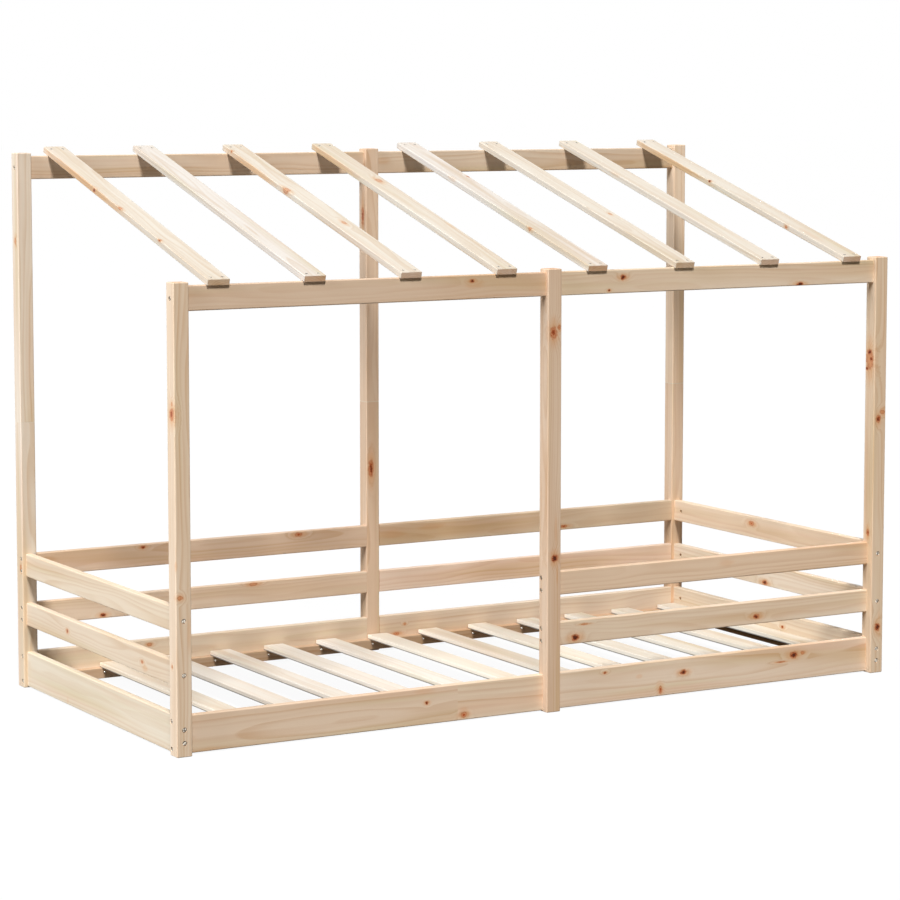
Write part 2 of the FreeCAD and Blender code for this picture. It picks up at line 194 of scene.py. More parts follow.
def makePineGroup(growth):
    given = {"Vector": "Vector", "Tone": "Color", "Late Tone": "Color", "Pith": "Vector",
             "Ring Width": "Float", "Contrast": "Float", "Seed": "Float", "Coat": "Float",
             "End Grain": "Float", "End Tone": "Color", "Edge": "Float", "Edge Tone": "Color", **knotMasks}
    made = {"Color": "Color", "Roughness": "Float", "Coat": "Float", "Height": "Float"}
    tree, entry, leave = newGroup("pineGrain", given, made)
    seedShift = stretch(tree, growth["seedStep"], entry["Seed"])

    def grainNoise(layer):
        squeezed = vectors(tree, "MULTIPLY", entry["Vector"], layer["squeeze"])
        squeezed = vectors(tree, "ADD", squeezed, seedShift)
        return maths(tree, "SUBTRACT", noise(tree, squeezed, 1.0, layer["detail"]), 0.5)

    # the year rings, each with a strength of its own
    across = vectors(tree, "SUBTRACT", entry["Vector"], entry["Pith"])
    across = vectors(tree, "LENGTH", vectors(tree, "MULTIPLY", across, (growth["taper"], 1, 1)))
    bent = maths(tree, "MULTIPLY_ADD", grainNoise(growth["bend"]), growth["bend"]["share"], across)
    phase = maths(tree, "DIVIDE", maths(tree, "ADD", bent, entry["Swell"]), entry["Ring Width"])
    part = maths(tree, "FRACT", phase)
    lateLine = smoothStep(tree, part, *growth["lateRise"])
    lateLine = maths(tree, "MULTIPLY", lateLine, fadeOut(tree, part, *growth["lateFall"]))
    ringNumber = maths(tree, "ADD", maths(tree, "FLOOR", phase), entry["Seed"])
    dice = place(tree, "ShaderNodeTexWhiteNoise", {"W": ringNumber}, noise_dimensions="1D").outputs["Value"]
    ringStrength = maths(tree, "MULTIPLY_ADD", dice, growth["ringSpread"], growth["ringLeast"])
    ringDepth = maths(tree, "MULTIPLY", lateLine, ringStrength)

    # how far the wood is from its early to its late tone
    layers = {kind: grainNoise(growth[kind]) for kind in ("streaks", "fibres", "clouds")}
    late = maths(tree, "MULTIPLY", ringDepth, entry["Contrast"])
    for kind, layer in layers.items():
        late = maths(tree, "MULTIPLY_ADD", layer, growth[kind]["share"], late)
    late = maths(tree, "ADD", late, growth["lateShare"])
    late = place(tree, "ShaderNodeClamp", {"Value": late}).outputs[0]
    wood = mixColour(tree, late, entry["Tone"], entry["Late Tone"])
    for kind in ("rosy", "greenish"):
        cloud = growth[kind]
        share = smoothStep(tree, grainNoise(cloud), 0.0, cloud["reach"], 0.0, cloud["share"])
        wood = tint(tree, share, wood, cloud["tint"])

    # cut ends have a tone of their own, which holds painted light where it is above 1, and painted shade
    # darkens a lower edge
    wood = mixColour(tree, entry["End Grain"], wood, entry["End Tone"], "MULTIPLY")
    wood = mixColour(tree, entry["Edge"], wood, entry["Edge Tone"], "MULTIPLY")

    # resin-rich wood round a knot, the rosy knot, its rim, and its heart that goes from red to nearly black
    for kind in ("resinStain", "knotStain", "rimStain"):
        stain = growth[kind]
        wood = tint(tree, maths(tree, "MULTIPLY", entry[stain["mask"]], stain["share"]), wood, stain["tint"])
    red, black = growth["redHeart"], growth["blackHeart"]
    wood = tint(tree, smoothStep(tree, entry["Dark"], *red["reach"]), wood, red["tint"])
    wood = mixColour(tree, smoothStep(tree, entry["Dark"], *black["reach"]), wood, opaque(black["tone"]))
    tree.links.new(wood, leave["Color"])

    rough = maths(tree, "MULTIPLY_ADD", late, growth["lateRough"], growth["rough"])
    rough = maths(tree, "MULTIPLY_ADD", entry["Core"], growth["knotRough"], rough)
    rough = maths(tree, "MULTIPLY_ADD", entry["End Grain"], growth["endRough"], rough)
    tree.links.new(rough, leave["Roughness"])
    bare = maths(tree, "MAXIMUM", maths(tree, "MAXIMUM", entry["Core"], entry["Edge"]), entry["End Grain"])
    coat = maths(tree, "MULTIPLY", entry["Coat"], maths(tree, "SUBTRACT", 1.0, bare))
    tree.links.new(coat, leave["Coat"])
    height = maths(tree, "MULTIPLY", ringDepth, growth["ringRelief"])
    height = maths(tree, "MULTIPLY_ADD", layers["fibres"], growth["fibreRelief"], height)
    height = maths(tree, "MULTIPLY_ADD", entry["Rim"], growth["rimRelief"], height)
    tree.links.new(height, leave["Height"])
    return tree


knotGroup = makeKnotGroup(knotShape)
resinGroup = makeResinGroup(resinShape)
pineGroup = makePineGroup(pineGrowth)
print("pine node groups made")


def middle(name):
    low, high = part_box(name)
    return (low + high) / 2


# how a piece's own X, the grain, lies in the bed
acrossRoof = middle("rear_left_beam") - middle("front_left_beam")
roofSlope = math.atan2(acrossRoof.z, acrossRoof.y)
turns = {
    "alongX": Euler((0, 0, 0)),
    "alongY": Euler((0, 0, math.pi / 2)),
    "alongZ": Euler((0, -math.pi / 2, 0)),
    "upRoof": (Matrix.Rotation(roofSlope, 3, "X") @ Matrix.Rotation(math.pi / 2, 3, "Z")).to_euler(),
}

# what all the pine has alike, unless a piece says otherwise
finish = {"lateTone": (0.80, 0.66, 0.52), "endTone": (0.96, 0.80, 0.70), "rings": 0.0055, "contrast": 0.55,
          "bump": 0.35, "bumpDepth": 0.0004, "coat": 0.06, "coatRough": 0.35, "gloss": 0.12,
          "faceEdge": (0.8, 0.95),  # how squarely a face has to look along a line
          "spliceShift": (2.6, 0.004, 0.012),  # how far off the grain goes on beyond a splice
          "paleSeamReach": (0.0006, 0.0016), "paleSeamShare": 0.6}

# tones of pine: first the whitish ones of the slats, then the yellower ones of the other pieces
chalk = (0.81, 0.745, 0.655)
milk = (0.785, 0.705, 0.585)
bone = (0.705, 0.65, 0.555)
pale = (0.705, 0.65, 0.585)
ivory = (0.70, 0.63, 0.53)
straw = (0.87, 0.74, 0.60)
sand = (0.85, 0.68, 0.51)
oat = (0.83, 0.645, 0.48)
honey = (0.78, 0.59, 0.43)


# the piece's knots and then its resin, in a chain of groups that hand on their masks
def knotsAndResin(tree, grain, piece):
    masks = {}
    for centre, radii, darkness in piece.get("knots", ()):
        sockets = {"Vector": grain, "Centre": centre, "Radii": radii, "Darkness": darkness, **masks}
        knot = place(tree, "ShaderNodeGroup", sockets, node_tree=knotGroup)
        masks = {mask: knot.outputs[mask] for mask in knotMasks}
    for centre, radii, strength in piece.get("resin", ()):
        sockets = {"Vector": grain, "Centre": centre, "Radii": radii, "Strength": strength}
        if "Halo" in masks:
            sockets["Halo"] = masks["Halo"]
        resin = place(tree, "ShaderNodeGroup", sockets, node_tree=resinGroup)
        masks["Halo"] = resin.outputs["Halo"]
    return masks


# 1 on the faces that look along a line of the piece, either way, and 0 on the others
def facing(tree, line, turn):
    direction = Vector(line)
    direction.rotate(turns[turn])
    normal = place(tree, "ShaderNodeNewGeometry").outputs["True Normal"]
    share = maths(tree, "ABSOLUTE", vectors(tree, "DOT_PRODUCT", normal, direction))
    return smoothStep(tree, share, *finish["faceEdge"])


# 1 on the lower part of one side or of both sides, where shade is painted, and 0 elsewhere
def lowerEdge(tree, spot, edge):
    side = spot["Y"] if edge["oneSide"] else maths(tree, "ABSOLUTE", spot["Y"])
    outer = smoothStep(tree, side, edge["across"] - edge["sideBlur"], edge["across"])
    lower = fadeOut(tree, spot["Z"], edge["up"], edge["up"] + edge["upBlur"])
    return maths(tree, "MULTIPLY", outer, lower)


# a piece has its tone, its pith line (across, up) and its seed, and where it needs them knots and resin as
# (along, across, up) places and radii from its middle with a darkness or strength, a splice, a pale band at
# the seam at one end (1 ahead, -1 behind), sides made paler by painted light and lower edges with painted
# shade
def pineMaterial(name, piece, turn):
    material = newMaterial(name + "_pine")
    tree = material.node_tree
    coordinates = place(tree, "ShaderNodeTexCoord").outputs["Object"]
    mapping = {"Vector": coordinates, "Location": middle(name), "Rotation": turns[turn]}
    grain = place(tree, "ShaderNodeMapping", mapping, vector_type="TEXTURE").outputs["Vector"]
    masks = knotsAndResin(tree, grain, piece)
    spot = place(tree, "ShaderNodeSeparateXYZ", {"Vector": grain}).outputs
    tone = opaque(piece["tone"])
    lateTone = opaque(early * late for early, late in zip(piece["tone"], finish["lateTone"]))
    if "splice" in piece:
        # beyond the splice the piece goes on in another length of wood, with its own tone and grain
        beyond = maths(tree, "GREATER_THAN", spot["X"], piece["splice"]["at"])
        tone = mixColour(tree, beyond, tone, opaque(piece["splice"]["tone"]))
        grain = vectors(tree, "ADD", grain, stretch(tree, finish["spliceShift"], beyond))
    if "paleSeamEnd" in piece:
        # a pale band is laid along the edge at a post's seam
        low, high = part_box(name)
        end = piece["paleSeamEnd"] * max(high - low) / 2
        gap = maths(tree, "ABSOLUTE", maths(tree, "SUBTRACT", spot["X"], end))
        paleSeamBand = smoothStep(tree, gap, *finish["paleSeamReach"], finish["paleSeamShare"], 0.0)
        tone = mixColour(tree, paleSeamBand, tone, opaque(milk))
        lateTone = mixColour(tree, paleSeamBand, lateTone, opaque(milk))
    if "paintedSideLight" in piece:
        # painted light: the narrow sides get a paler tone than the faces, to make up for the shade that
        # falls on them
        paintedSideTone = opaque(value * piece["paintedSideLight"] for value in piece["tone"])
        tone = mixColour(tree, facing(tree, (0, 1, 0), turn), tone, paintedSideTone)

    sockets = {"Vector": grain, "Tone": tone, "Late Tone": lateTone, "Pith": (0, *piece["pith"]),
               "Ring Width": piece.get("rings", finish["rings"]), "Seed": piece["seed"],
               "Contrast": piece.get("contrast", finish["contrast"]), "Coat": finish["coat"],
               "End Grain": facing(tree, (1, 0, 0), turn),
               "End Tone": opaque(piece.get("endTone", finish["endTone"])), **masks}
    # painted shade on the lower edges of the sides
    if "paintedShadeEdge" in piece:
        sockets["Edge"] = lowerEdge(tree, spot, piece["paintedShadeEdge"])
        sockets["Edge Tone"] = opaque(piece["paintedShadeEdge"]["tone"])
    pine = place(tree, "ShaderNodeGroup", sockets, node_tree=pineGroup).outputs
    relief = {"Height": pine["Height"], "Strength": finish["bump"], "Distance": finish["bumpDepth"]}
    shader = place(tree, "ShaderNodeBsdfPrincipled", {
        "Base Color": pine["Color"], "Roughness": pine["Roughness"], "Coat Weight": pine["Coat"],
        "Coat Roughness": finish["coatRough"], "Specular IOR Level": piece.get("gloss", finish["gloss"]),
        "Normal": place(tree, "ShaderNodeBump", relief).outputs["Normal"]})
    place(tree, "ShaderNodeOutputMaterial", {"Surface": shader.outputs["BSDF"]})
    return material


def dressPine(pieces, turn):
    for name, piece in pieces.items():
        dress(name, pineMaterial(name, piece, turn))


# posts: on the left face up is +0.020, on the front face across is -0.020
posts = {
    "front_left_post": {
        "tone": sand, "pith": (0.050, -0.034), "seed": 1.0,
        "knots": [((0.252, -0.006, 0.020), (0.012, 0.010, 0.010), 0.45),
                  ((0.276, -0.007, 0.020), (0.004, 0.003, 0.008), 0.05),
                  ((-0.180, -0.019, 0.009), (0.004, 0.008, 0.007), 0.06),
                  ((-0.346, 0.004, 0.020), (0.003, 0.003, 0.008), 0.35)],
        "resin": [((-0.265, -0.020, -0.014), (0.060, 0.005, 0.006), 0.5),
                  ((-0.105, -0.019, 0.019), (0.014, 0.005, 0.005), 0.6)]},
    "front_middle_post": {
        "tone": honey, "pith": (-0.012, 0.060), "seed": 2.0,
        "knots": [((0.401, -0.020, 0.004), (0.013, 0.012, 0.009), 0.44),
                  ((0.414, -0.020, -0.012), (0.005, 0.008, 0.004), 0.30),
                  ((-0.168, -0.020, -0.001), (0.008, 0.014, 0.009), 0.75)],
        "resin": [((-0.210, -0.020, -0.009), (0.040, 0.004, 0.003), 0.9),
                  ((-0.100, -0.020, -0.005), (0.060, 0.006, 0.005), 0.5)]},
    "front_right_post": {
        "tone": (0.84, 0.665, 0.485), "pith": (0.048, 0.030), "seed": 3.0,
        "knots": [((0.285, 0.001, 0.020), (0.022, 0.013, 0.012), 0.02),
                  ((0.306, 0.002, 0.020), (0.007, 0.009, 0.010), 0.56),
                  ((0.288, -0.006, 0.020), (0.006, 0.007, 0.010), 0.52),
                  ((0.261, 0.012, 0.020), (0.004, 0.006, 0.010), 0.60),
                  ((-0.180, -0.001, 0.020), (0.008, 0.005, 0.010), 0.50),
                  ((0.127, -0.020, 0.005), (0.009, 0.011, 0.007), 0.52),
                  ((0.145, -0.020, -0.009), (0.005, 0.008, 0.007), 0.15),
                  ((-0.436, -0.020, -0.001), (0.009, 0.012, 0.008), 0.75)],
        "resin": [((-0.430, -0.020, -0.007), (0.050, 0.005, 0.006), 0.8)]},
    "rear_left_upper_post": {
        "tone": (0.83, 0.71, 0.575), "pith": (0.044, 0.044), "seed": 4.0, "paleSeamEnd": -1,
        "knots": [((0.122, -0.001, 0.020), (0.007, 0.005, 0.008), 0.10)]},
    "rear_left_lower_post": {
        "tone": (0.83, 0.72, 0.59), "pith": (0.060, -0.014), "seed": 5.0, "paleSeamEnd": 1,
        "knots": [((-0.033, -0.008, 0.020), (0.006, 0.005, 0.009), 0.25)]},
    "rear_middle_upper_post": {
        "tone": honey, "pith": (0.042, 0.020), "seed": 6.0, "paleSeamEnd": -1,
        "knots": [((0.164, -0.002, 0.020), (0.024, 0.006, 0.010), 0.45)]},
    "rear_middle_lower_post": {
        "tone": (0.765, 0.57, 0.41), "pith": (0.052, 0.012), "seed": 7.0, "paleSeamEnd": 1,
        "knots": [((0.163, -0.020, 0.006), (0.020, 0.010, 0.007), 0.52)]},
    "rear_right_upper_post": {
        "tone": (0.90, 0.705, 0.52), "pith": (0.036, -0.048), "seed": 8.0, "paleSeamEnd": -1},
    "rear_right_lower_post": {
        "tone": (0.85, 0.64, 0.465), "pith": (0.056, 0.030), "seed": 9.0, "paleSeamEnd": 1},
}
dressPine(posts, "alongZ")
print("posts dressed")

# long boards and rails: on the front face across is -0.010
longMembers = {
    "front_left_board": {
        "tone": oat, "pith": (0.040, -0.012), "seed": 11.0, "rings": 0.0075,
        "splice": {"at": 0.243, "tone": sand},
        "knots": [((0.155, -0.010, 0.008), (0.004, 0.012, 0.004), 0.60),
                  ((0.261, -0.010, -0.033), (0.007, 0.012, 0.006), 0.35)],
        "resin": [((-0.440, -0.010, -0.044), (0.070, 0.030, 0.010), 0.5),
                  ((0.150, -0.010, 0.038), (0.032, 0.020, 0.010), 0.4),
                  ((0.262, -0.010, -0.026), (0.020, 0.020, 0.014), 0.6)]},
    "front_right_board": {
        "tone": (0.885, 0.715, 0.555), "pith": (0.038, 0.016), "seed": 12.0, "rings": 0.0070,
        "knots": [((0.251, -0.010, 0.021), (0.010, 0.014, 0.008), 0.72),
                  ((0.280, -0.010, 0.024), (0.005, 0.012, 0.004), 0.15),
                  ((-0.345, -0.010, 0.032), (0.004, 0.012, 0.003), 0.55),
                  ((-0.103, -0.010, 0.009), (0.009, 0.014, 0.006), 0.70),
                  ((-0.174, -0.010, -0.030), (0.004, 0.012, 0.009), 0.40),
                  ((0.210, -0.010, 0.006), (0.011, 0.010, 0.002), 0.35)],
        "resin": [((-0.176, -0.010, -0.020), (0.016, 0.020, 0.020), 0.6),
                  ((-0.240, -0.010, 0.012), (0.012, 0.020, 0.007), 0.5)]},
    "front_right_upper_rail": {
        "tone": (0.84, 0.63, 0.45), "pith": (0.034, 0.022), "seed": 13.0, "contrast": 0.9,
        "resin": [((0.030, -0.010, 0.010), (0.032, 0.020, 0.012), 0.4)]},
    "front_right_lower_rail": {
        "tone": sand, "pith": (0.036, -0.018), "seed": 14.0,
        "knots": [((0.128, -0.010, -0.010), (0.009, 0.014, 0.006), 0.55),
                  ((-0.435, -0.010, -0.014), (0.010, 0.014, 0.008), 0.75),
                  ((-0.407, -0.010, 0.018), (0.009, 0.010, 0.002), 0.25)]},
    "rear_left_board": {
        "tone": (0.825, 0.695, 0.54), "pith": (0.042, 0.010), "seed": 15.0, "rings": 0.0070,
        "knots": [((-0.172, -0.010, 0.032), (0.006, 0.012, 0.004), 0.18)]},
    "rear_right_board": {
        "tone": (0.79, 0.645, 0.50), "pith": (0.040, -0.020), "seed": 16.0, "rings": 0.0070,
        "knots": [((-0.411, -0.010, 0.017), (0.003, 0.012, 0.003), 0.15),
                  ((-0.437, -0.010, -0.008), (0.008, 0.012, 0.004), 0.30)]},
    "rear_left_upper_rail": {
        "tone": (0.715, 0.54, 0.40), "pith": (0.036, 0.014), "seed": 17.0,
        "knots": [((-0.187, -0.010, 0.022), (0.006, 0.014, 0.004), 0.55),
                  ((0.279, -0.010, 0.021), (0.010, 0.014, 0.005), 0.35)]},
    "rear_right_upper_rail": {
        "tone": (0.695, 0.545, 0.39), "pith": (0.038, -0.010), "seed": 18.0,
        "knots": [((0.116, -0.010, -0.020), (0.010, 0.014, 0.004), 0.40)],
        "resin": [((-0.450, -0.010, 0.000), (0.055, 0.020, 0.013), 0.5),
                  ((-0.325, -0.010, 0.012), (0.055, 0.020, 0.010), 0.5)]},
    "rear_left_lower_rail": {
        "tone": (0.79, 0.62, 0.465), "pith": (0.034, -0.016), "seed": 19.0,
        "knots": [((-0.305, -0.010, -0.021), (0.007, 0.014, 0.005), 0.70),
                  ((0.139, -0.010, 0.024), (0.010, 0.014, 0.004), 0.12)]},
    "rear_right_lower_rail": {"tone": (0.87, 0.68, 0.54), "pith": (0.040, 0.024), "seed": 20.0},
}
dressPine(longMembers, "alongX")
print("long boards and rails dressed")

# boards and rails of the two ends: on the left face across is +0.010
endMembers = {
    "left_end_board": {
        "tone": (0.785, 0.675, 0.52), "pith": (-0.042, 0.010), "seed": 21.0, "rings": 0.0075,
        "resin": [((0.187, 0.010, -0.036), (0.008, 0.020, 0.012), 0.4)]},
    "left_end_upper_rail": {"tone": (0.77, 0.625, 0.46), "pith": (-0.038, -0.018), "seed": 22.0},
    "left_end_lower_rail": {
        "tone": (0.76, 0.61, 0.45), "pith": (-0.036, 0.020), "seed": 23.0,
        "knots": [((0.184, 0.010, -0.001), (0.005, 0.012, 0.005), 0.50),
                  ((-0.278, 0.010, -0.002), (0.005, 0.012, 0.004), 0.35)],
        "resin": [((-0.295, 0.010, -0.014), (0.020, 0.020, 0.012), 0.7)]},
    "right_end_board": {
        "tone": (0.72, 0.595, 0.45), "pith": (-0.040, -0.014), "seed": 24.0, "rings": 0.0070, "gloss": 0.0,
        "knots": [((-0.085, 0.010, 0.011), (0.005, 0.012, 0.004), 0.55)],
        # painted shadow: the foot of the inner face, under the bed slats, is darkened to dark brown
        "paintedShadeEdge": {"across": 0.0098, "sideBlur": 0.002, "up": -0.0140, "upBlur": 0.0015, "oneSide": True,
                       "tone": (0.20, 0.13, 0.08)}},
    "right_end_upper_rail": {
        "tone": (0.84, 0.665, 0.49), "pith": (-0.036, 0.012), "seed": 25.0,
        "knots": [((0.068, 0.010, 0.010), (0.010, 0.012, 0.006), 0.35)]},
    "right_end_lower_rail": {
        "tone": (0.82, 0.70, 0.56), "pith": (-0.034, -0.020), "seed": 26.0,
        "knots": [((0.001, 0.010, -0.021), (0.011, 0.012, 0.007), 0.60)]},
}
dressPine(endMembers, "alongY")
print("end boards and rails dressed")

# roof beams: on the front face across is -0.010
beams = {
    "front_left_beam": {
        "tone": honey, "pith": (0.036, 0.016), "seed": 31.0,
        "knots": [((0.278, -0.010, 0.015), (0.006, 0.014, 0.004), 0.60)],
        "resin": [((0.285, -0.010, 0.008), (0.035, 0.020, 0.014), 0.5)]},
    "front_right_beam": {
        "tone": sand, "pith": (0.034, -0.020), "seed": 32.0,
        "knots": [((-0.303, -0.010, 0.010), (0.007, 0.014, 0.006), 0.70),
                  ((-0.345, -0.010, -0.022), (0.003, 0.014, 0.003), 0.60),
                  ((0.250, -0.010, -0.026), (0.010, 0.014, 0.005), 0.75)],
        "resin": [((0.250, -0.010, -0.026), (0.034, 0.020, 0.009), 0.6)]},
    "rear_left_beam": {"tone": (0.77, 0.605, 0.455), "pith": (0.038, 0.018), "seed": 33.0},
    "rear_right_beam": {
        "tone": (0.735, 0.59, 0.445), "pith": (0.034, -0.014), "seed": 34.0,
        "resin": [((-0.470, -0.010, 0.004), (0.030, 0.020, 0.012), 0.5)]},
}
dressPine(beams, "alongX")
print("beams dressed")

# roof slats: on the top up is +0.008, on the left side across is +0.029. Their cut ends are lighter than the
# slats, by these factors: a tone of their own and painted light, as the ends face down and get little light
creamyEndPaintedLight = (1.38, 1.16, 0.97)
amberEndPaintedLight = (1.38, 1.02, 0.76)
goldenEndPaintedLight = (1.42, 1.18, 1.06)
roofSlats = {
    "roof_slat_1": {
        "tone": ivory, "endTone": creamyEndPaintedLight, "pith": (-0.020, -0.040), "seed": 41.0,
        "knots": [((0.171, 0.029, 0.001), (0.006, 0.008, 0.005), 0.60),
                  ((0.010, 0.029, 0.008), (0.008, 0.006, 0.004), 0.25),
                  ((-0.233, 0.029, 0.008), (0.005, 0.005, 0.004), 0.45)],
        "resin": [((0.230, 0.030, 0.000), (0.360, 0.004, 0.020), 1.3)]},
    "roof_slat_2": {"tone": pale, "endTone": amberEndPaintedLight, "pith": (0.012, -0.044), "seed": 42.0},
    "roof_slat_3": {
        "tone": ivory, "endTone": goldenEndPaintedLight, "pith": (-0.010, -0.036), "seed": 43.0,
        "knots": [((0.459, 0.029, 0.006), (0.004, 0.005, 0.004), 0.40),
                  ((0.127, 0.027, 0.008), (0.013, 0.008, 0.010), 0.12),
                  ((-0.143, -0.004, 0.008), (0.010, 0.005, 0.008), 0.05)],
        "resin": [((0.330, 0.030, 0.000), (0.200, 0.004, 0.016), 1.2),
                  ((0.130, 0.026, 0.008), (0.050, 0.010, 0.014), 0.6),
                  ((-0.143, -0.002, 0.008), (0.030, 0.012, 0.008), 0.4)]},
    "roof_slat_4": {
        "tone": ivory, "endTone": goldenEndPaintedLight, "pith": (0.018, -0.040), "seed": 44.0,
        "knots": [((0.185, -0.006, 0.008), (0.012, 0.007, 0.008), 0.12)],
        "resin": [((0.380, 0.030, 0.000), (0.180, 0.004, 0.016), 1.0),
                  ((0.180, -0.004, 0.008), (0.040, 0.014, 0.008), 0.5),
                  ((-0.189, -0.020, 0.008), (0.035, 0.010, 0.008), 0.4)]},
    "roof_slat_5": {
        "tone": pale, "endTone": amberEndPaintedLight, "pith": (-0.016, -0.042), "seed": 45.0,
        "knots": [((0.204, -0.026, 0.008), (0.006, 0.004, 0.007), 0.50),
                  ((-0.221, 0.028, 0.008), (0.006, 0.004, 0.007), 0.25)],
        "resin": [((0.199, 0.028, 0.006), (0.030, 0.008, 0.010), 0.5)]},
    "roof_slat_6": {
        "tone": ivory, "endTone": creamyEndPaintedLight, "pith": (0.014, -0.038), "seed": 46.0,
        "knots": [((-0.129, -0.010, 0.008), (0.006, 0.004, 0.007), 0.20)]},
    "roof_slat_7": {
        "tone": ivory, "endTone": goldenEndPaintedLight, "pith": (-0.022, -0.044), "seed": 47.0,
        "resin": [((0.210, 0.028, 0.006), (0.030, 0.008, 0.010), 0.4)]},
    "roof_slat_8": {
        "tone": ivory, "endTone": goldenEndPaintedLight, "pith": (0.010, -0.036), "seed": 48.0,
        "knots": [((0.130, 0.029, 0.007), (0.005, 0.006, 0.004), 0.70),
                  ((-0.250, 0.029, 0.000), (0.005, 0.006, 0.004), 0.35)],
        "resin": [((0.330, 0.030, 0.000), (0.260, 0.004, 0.018), 1.3),
                  ((-0.340, 0.010, 0.008), (0.070, 0.014, 0.006), 0.4)]},
}
dressPine(roofSlats, "upRoof")
print("roof slats dressed")

# bed slats: cut from a few boards, so they take turns at pith and ring width
# painted light: the second to the ninth slats, which lie in the shade of the left end rails, get paler
# tones, the third to the sixth the palest
bedSlats = {"tones": (bone, milk, *[chalk] * 4, *[milk] * 3, *[bone] * 4), "contrast": 0.30,
            "pithAcross": (-0.030, 0.006, 0.034, -0.012), "pithUp": -0.034, "seedsFrom": 51.0,
            # paintedSideLight lifts the slats' sides as painted light
            "rings": (0.0050, 0.0065, 0.0058), "paintedSideLight": 1.24,
            # painted shade: the lower edge of each side is darkened to grey
            "paintedShadeEdge": {"across": 0.0298, "sideBlur": 0.002, "up": -0.0040, "upBlur": 0.0015,
                           "oneSide": False, "tone": (0.36, 0.36, 0.37)}}


def bedSlat(index):
    piths, rings = bedSlats["pithAcross"], bedSlats["rings"]
    return {"tone": bedSlats["tones"][index], "pith": (piths[index % len(piths)], bedSlats["pithUp"]),
            "rings": rings[index % len(rings)], "contrast": bedSlats["contrast"],
            "seed": bedSlats["seedsFrom"] + index, "paintedSideLight": bedSlats["paintedSideLight"],
            "paintedShadeEdge": bedSlats["paintedShadeEdge"]}


slatCount = len(bedSlats["tones"])
dressPine({"bed_slat_%02d" % (index + 1): bedSlat(index) for index in range(slatCount)}, "alongY")
print("bed slats dressed")

# ledges under the bed slats, with stronger grain than the rest, and the pegs in the post joints
ledges = {
    "front_ledge": {"tone": honey, "pith": (-0.030, 0.012), "seed": 71.0, "contrast": 0.7},
    "rear_ledge": {"tone": (0.62, 0.43, 0.28), "pith": (0.028, -0.016), "seed": 72.0, "contrast": 0.7},
}
dressPine(ledges, "alongX")
pegs = {"post_joint_pegs": {"tone": straw, "pith": (0.010, 0.012), "seed": 75.0, "rings": 0.0020}}
dressPine(pegs, "alongZ")
print("ledges and pegs dressed")

# steel of the bolts, nuts and screws: zinc with painted highlights and painted shade as bright and dark
# spots, with a finer grain in its polish
zinc = {"dark": (0.17, 0.14, 0.11), "light": (0.90, 0.83, 0.72),
        "paintedGlintScale": 290.0, "paintedGlintDetail": 1.0, "paintedGlintEdge": (0.40, 0.60),
        "grainScale": 900.0, "grainDetail": 3.0, "grainEdge": (0.2, 0.8),
        "smoothest": 0.14, "roughest": 0.30,
        "pieces": ("connector_bolts", "through_studs", "barrel_nuts", "post_joint_studs", "ledge_screws",
                   "bed_slat_screws", "roof_slat_screws")}


def steelMaterial(steel):
    material = newMaterial("zincSteel")
    tree = material.node_tree
    coordinates = place(tree, "ShaderNodeTexCoord").outputs["Object"]
    # painted highlights and painted shade: bright and dark spots at random
    paintedGlints = noise(tree, coordinates, steel["paintedGlintScale"], steel["paintedGlintDetail"])
    paintedGlints = smoothStep(tree, paintedGlints, *steel["paintedGlintEdge"])
    colour = mixColour(tree, paintedGlints, opaque(steel["dark"]), opaque(steel["light"]))
    grain = noise(tree, coordinates, steel["grainScale"], steel["grainDetail"])
    rough = smoothStep(tree, grain, *steel["grainEdge"], steel["smoothest"], steel["roughest"])
    sockets = {"Base Color": colour, "Roughness": rough, "Metallic": 1.0}
    shader = place(tree, "ShaderNodeBsdfPrincipled", sockets)
    place(tree, "ShaderNodeOutputMaterial", {"Surface": shader.outputs["BSDF"]})
    return material


zincSteel = steelMaterial(zinc)
for name in zinc["pieces"]:
    dress(name, zincSteel)
print("steel dressed")


# 1 where floor and room are looked at, also in a shiny or clear face, and 0 where they only give light
def lookedAt(tree):
    ray = place(tree, "ShaderNodeLightPath").outputs
    mirrored = maths(tree, "MAXIMUM", ray["Is Glossy Ray"], ray["Is Transmission Ray"])
    return maths(tree, "MAXIMUM", ray["Is Camera Ray"], mirrored)


# floor: a flat square grid, x and y from -half to +half, z a little under the feet. It looks white, keeps
# the shadow, and throws little light back
floorPlan = {"half": 60.0, "steps": 2, "under": 0.0005, "white": 0.94, "paint": (0.96, 0.96, 0.96),
             "bounce": (0.14, 0.125, 0.105)}


def floorMaterial(plan):
    material = newMaterial("floorWhite")
    tree = material.node_tree
    seen = lookedAt(tree)
    paint = mixColour(tree, seen, opaque(plan["bounce"]), opaque(plan["paint"]))
    matte = place(tree, "ShaderNodeBsdfDiffuse", {"Color": paint})
    glow = place(tree, "ShaderNodeEmission", {"Color": (1, 1, 1, 1), "Strength": 1.0})
    share = maths(tree, "MULTIPLY", seen, plan["white"])
    mixed = place(tree, "ShaderNodeMixShader", {0: share, 1: matte.outputs[0], 2: glow.outputs[0]})
    place(tree, "ShaderNodeOutputMaterial", {"Surface": mixed.outputs[0]})
    return material


def makeFloor(plan):
    line = np.linspace(-plan["half"], plan["half"], plan["steps"])
    x, y = np.meshgrid(line, line)
    points = np.stack([x.ravel(), y.ravel(), np.full(x.size, -plan["under"])], 1)
    count = plan["steps"]
    corner = (np.arange(count - 1)[:, None] * count + np.arange(count - 1)[None, :]).ravel()
    faces = np.stack([corner, corner + 1, corner + count + 1, corner + count], 1)
    mesh = bpy.data.meshes.new("floor")
    mesh.from_pydata(points.tolist(), [], faces.tolist())
    mesh.materials.append(floorMaterial(plan))
    floor = bpy.data.objects.new("floor", mesh)
    bpy.context.scene.collection.objects.link(floor)


